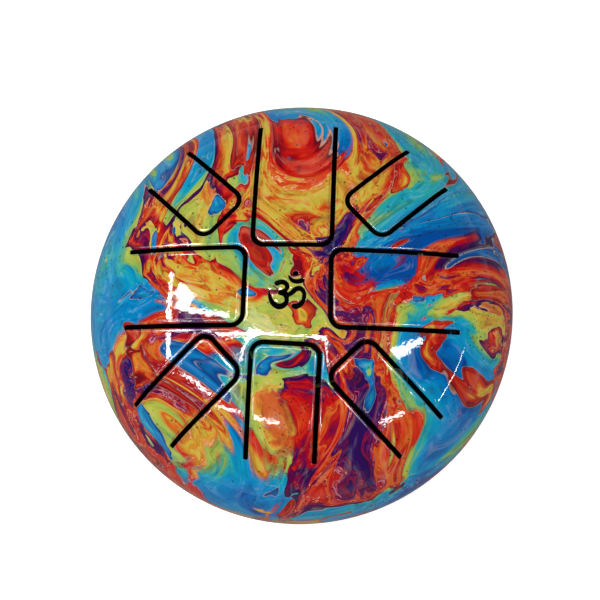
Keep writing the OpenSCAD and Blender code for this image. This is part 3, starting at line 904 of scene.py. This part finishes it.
# a rubber foot leans out with the shell under it, and its sole is level; lengths in millimetres.
# mould is the moulding line: steps along the side from its middle, and shares of the groove's depth
foot = {"feet": 3, "seatRing": 42.0, "gap": 4.0, "top": 20.0, "sole": 17.0, "recess": 9.4, "web": 3.0,
        "insertD": 12.0, "insertT": 1.0, "hole": 4.5, "run": 3.0, "round": 1.3, "lip": 0.5, "seatRound": 0.5,
        "seatRows": 6, "seatTo": 0.93, "floorTurn": 0.02, "around": 120, "rounds": 8, "crease": 38,
        "groove": 0.35, "mouldAt": 0.38,
        "mould": ((-0.45, 0), (-0.3, 0.25), (-0.12, 0.85), (0.12, 0.85), (0.3, 0.25), (0.45, 0))}
cornerLimit = 0.48   # a corner takes less than half of each of its sides
lowerZ = foot["gap"] + shell["height"] - crownZ   # centre of the lower crown
lean = math.asin(foot["seatRing"] / crownR)


def roundedCorner(before, at, after, size, count=7):
    # a quadratic curve from size before the corner to size past it
    back, on = before - at, after - at
    a = at + back * np.minimum(size / np.linalg.norm(back, axis=1), cornerLimit)[:, None]
    b = at + on * np.minimum(size / np.linalg.norm(on, axis=1), cornerLimit)[:, None]
    return [a * (1 - t)**2 + at * 2 * t * (1 - t) + b * t**2 for t in np.linspace(0, 1, count)]


def footSection(turn, f):
    # for each heading round the foot's own axis, a closed section in (distance r from the axis, distance h
    # from the crown's centre): seat on the sphere, cone side, level sole, recess, seat of the insert, hole.
    # The table lies where h cos(lean) + r cos(turn) sin(lean) = lowerZ
    slope = np.cos(turn) * math.sin(lean)
    start, past = crownR - f["run"], lowerZ / math.cos(lean) + f["top"]
    thin = (f["top"] - f["sole"]) / 2 / (past - crownR)
    one = np.ones_like(turn)

    def onSphere(r):
        return np.column_stack([r, np.sqrt(crownR**2 - r**2)])

    def onTable(r):
        return np.column_stack([r, (lowerZ - r * slope) / math.cos(lean)])

    def level(r, h):
        return np.column_stack([one * r, one * h])

    # where the cone's side meets the sphere and the table, each found in a few rounds
    seatR, soleR = one * f["top"] / 2, one * f["sole"] / 2
    for _ in range(f["rounds"]):
        seatR = f["top"] / 2 - thin * (onSphere(seatR)[:, 1] - start)
        soleR = f["top"] / 2 - thin * (onTable(soleR)[:, 1] - start)
    seatOut, soleOut, soleIn = onSphere(seatR), onTable(soleR), onTable(one * f["recess"] / 2)
    head, insert, holeR = crownR + f["web"] + f["insertT"], crownR + f["web"], f["hole"] / 2
    floorOut = level(f["recess"] / 2, head)
    rows = [onSphere(holeR * (1 - t) + seatR * t) for t in np.linspace(0, f["seatTo"], f["seatRows"])]
    rows += roundedCorner(rows[-1], seatOut, soleOut, f["seatRound"], 5)
    along = (soleOut - seatOut) / np.linalg.norm(soleOut - seatOut, axis=1)[:, None]
    middle = seatOut * (1 - f["mouldAt"]) + soleOut * f["mouldAt"]
    for step, deep in f["mould"]:
        rows.append(middle + along * step - level(f["groove"] * deep, 0))
    rows += roundedCorner(middle + along * f["mould"][-1][0], soleOut, soleIn, f["round"])
    rows += roundedCorner(soleOut, soleIn, floorOut, f["lip"], 5)
    rows += [floorOut * (1 - f["floorTurn"]) + soleIn * f["floorTurn"], floorOut,
             level(f["insertD"] / 2, head), level(f["insertD"] / 2, insert), level(holeR, insert)]
    return np.stack(rows)


def makeFoot(k, f):
    # the section carried round the foot's axis, turned to lean out under the crown and spun to its place
    turn = 2 * math.pi * np.arange(f["around"]) / f["around"]
    section = footSection(turn, f)
    r, h = section[..., 0], section[..., 1]
    tilt = math.pi - lean
    x = r * np.cos(turn) * math.cos(tilt) + h * math.sin(tilt)
    y = r * np.sin(turn)
    z = -(r * np.cos(turn)) * math.sin(tilt) + h * math.cos(tilt) + lowerZ
    spin = math.radians(90 + 360 / f["feet"] * k)
    points = np.stack([x * math.cos(spin) - y * math.sin(spin), x * math.sin(spin) + y * math.cos(spin),
                       np.maximum(z, 0)], -1)
    rows, around = section.shape[:2]
    obj = makeMesh("foot%d" % (k + 1), points.reshape(-1, 3), ringFaces(rows, rows, around))
    obj.data.materials.append(rubberMaterial)
    bm = bmesh.new()
    bm.from_mesh(obj.data)
    bmesh.ops.recalc_face_normals(bm, faces=bm.faces)
    for edge in bm.edges:
        edge.smooth = edge.calc_face_angle(0) < math.radians(f["crease"])
    bm.to_mesh(obj.data)
    bm.free()
    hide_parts("foot_%d" % (k + 1))
    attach(obj, "drum")


for k in range(foot["feet"]):
    makeFoot(k, foot)
print("feet made")

# stage: a floor and its upturned rim, white to the camera, and lamps where the lacquer mirrors them.
# Lengths in metres; shade is how far the shadow painted under the drum reaches, glow where the floor's own
# light starts
stageLook = {"floor": "F2F2F2", "paintedShadow": "1A1A1A", "mirroredShade": "82807E", "shade": (0.034, 0.079),
             "glow": (0.052, 0.079), "floorGlow": 0.55, "farGlow": 0.5, "far": (0.5, 1.6), "haze": (1.0, 2.6),
             "hazeTop": 0.8, "mirroredFloor": 0.45, "under": 0.8, "mirroredUnder": 0.5,
             "world": 0.58, "mirrored": 0.03, "white": 1.0,
             "flat": (0.12, 0.6), "radius": 2.6, "wall": 1.3, "bend": 0.5, "bendRows": 9, "around": 96}


def makeFloorLook(look):
    s = Shader("floorLook")
    reach, height = s.place.calc("LENGTH"), s.place.calc("DOT_PRODUCT", (0, 0, 1))
    # a shadow painted into the floor's colour, darker towards the drum's axis
    away = s.step(reach, *look["shade"])   # the floor under the drum is in its shade
    seen = s.add("ShaderNodeLightPath", out="Is Camera Ray")
    glossy, diffuse = seen.other("Is Glossy Ray"), seen.other("Is Diffuse Ray")
    # the painted shadow under the drum, and a duller floor in the lacquer's reflections
    shade = s.blend(s.blend(look["paintedShadow"], look["floor"], away), look["mirroredShade"], glossy * away)
    haze = s.step(reach, *look["haze"]) * (1 - s.step(height, 0.0, look["hazeTop"])) * look["mirroredFloor"]
    bright = look["floorGlow"] + s.step(reach, *look["far"]) * look["farGlow"]
    glow = seen * bright * s.step(reach, *look["glow"]) + glossy * haze
    # light for the underside
    glow = glow + (diffuse + glossy * look["mirroredUnder"]) * (1 - away) * look["under"]
    surface = s.add("ShaderNodeBsdfDiffuse", {"Color": shade})
    lit = s.add("ShaderNodeAddShader", {0: surface, 1: s.add("ShaderNodeEmission", {"Strength": glow})})
    behind = s.add("ShaderNodeNewGeometry", out="Backfacing")   # from below, the floor is clear
    return s.finish(s.mix(lit, s.add("ShaderNodeBsdfTransparent"), behind))


def makeFloor(look):
    # a disc whose rim turns up in a quarter circle: a profile of distance and height, carried round
    turns = np.linspace(0, math.pi / 2, look["bendRows"])[1:]
    flatR, size, n = look["radius"] - look["bend"], look["bend"], look["around"]
    profile = [(r, 0) for r in look["flat"]] + [(flatR, 0)]
    profile += [(flatR + size * math.sin(t), size - size * math.cos(t)) for t in turns]
    profile = np.array(profile + [(look["radius"], look["wall"])]) / mm
    turn = 2 * math.pi * np.arange(n) / n
    r, z = profile[:, :1], profile[:, 1:]
    points = np.stack([r * np.cos(turn), r * np.sin(turn), z + 0 * turn], -1).reshape(-1, 3)
    faces = ringFaces(len(profile) - 1, len(profile), n) + [list(range(n))]   # the last one fills the middle
    floor = makeMesh("floor", points, faces)
    floor.data.materials.append(makeFloorLook(look))


def makeWorld(look):
    # white to the camera, and dark in the lacquer apart from the lamps
    world = bpy.data.worlds.new("world")
    bpy.context.scene.world = world
    world.use_nodes = True
    tree = world.node_tree
    background = tree.nodes["Background"]
    background.inputs["Color"].default_value = (1, 1, 1, 1)
    path = tree.nodes.new("ShaderNodeLightPath")
    level = None
    for ray, share in (("Is Glossy Ray", look["mirrored"]), ("Is Camera Ray", look["white"])):
        switch = tree.nodes.new("ShaderNodeMapRange")
        if level is None:
            switch.inputs["To Min"].default_value = look["world"]
        else:
            tree.links.new(level, switch.inputs["To Min"])
        switch.inputs["To Max"].default_value = share
        tree.links.new(path.outputs[ray], switch.inputs["Value"])
        level = switch.outputs[0]
    tree.links.new(level, background.inputs["Strength"])


makeFloor(stageLook)
makeWorld(stageLook)
# each lamp's two ends in mm, its width, and its brightness where 1 is white
lamps = {"tubeLeft": ((-607, 264, 741), (-590, -166, 741), 17, 38),
         "paneLeft": ((-562, 190, 741), (-474, 126, 741), 58, 26),
         "haloLeft": ((-560, 176, 745), (-440, 96, 745), 120, 2.2),
         "paneLeftLow": ((-556, 128, 741), (-480, 104, 741), 52, 24),
         "tubeMiddle": ((-525, 96, 741), (-295, 49, 741), 20, 26),
         "tubeOver": ((-404, -11, 741), (66, -30, 741), 17, 36),
         "tubeOverEnd": ((66, -30, 741), (74, -110, 741), 10, 28),
         "paneHub": ((-190, 4, 741), (-236, -116, 741), 34, 24),
         "haloHub": ((-232, 52, 745), (-112, -44, 745), 84, 3.4),
         "tubeNearLeft": ((-530, -164, 741), (-368, -258, 741), 9, 36),
         "tubeNear": ((-358, -291, 741), (-99, -352, 741), 9, 36),
         "paneRight": ((308, -72, 741), (450, -14, 741), 26, 30),
         "paneRightLow": ((318, -84, 741), (392, -54, 741), 34, 28),
         "tubeNearRight": ((280, -356, 741), (399, -310, 741), 13, 30),
         "tubeRight": ((975, -70, 741), (830, -420, 741), 14, 36)}
lampAim = (0, 0, 60)   # in the drum, in mm


def makeLamp(name, start, end, wide, bright):
    # an area lamp along the line between its ends, facing the drum
    a, b = Vector(start) * mm, Vector(end) * mm
    middle, along = (a + b) / 2, (b - a).normalized()
    away = middle - Vector(lampAim) * mm
    away = (away - away.dot(along) * along).normalized()
    light = bpy.data.lights.new(name, "AREA")
    light.shape, light.size, light.size_y = "RECTANGLE", (b - a).length, wide * mm
    light.energy = bright * math.pi * light.size * light.size_y
    obj = bpy.data.objects.new(name, light)
    turn = Matrix((along, away.cross(along), away)).transposed().to_4x4()
    obj.matrix_world = Matrix.Translation(middle) @ turn
    bpy.context.scene.collection.objects.link(obj)


for name, row in lamps.items():
    makeLamp(name, *row)
bpy.context.scene.view_settings.view_transform = "Standard"
print("stage set")
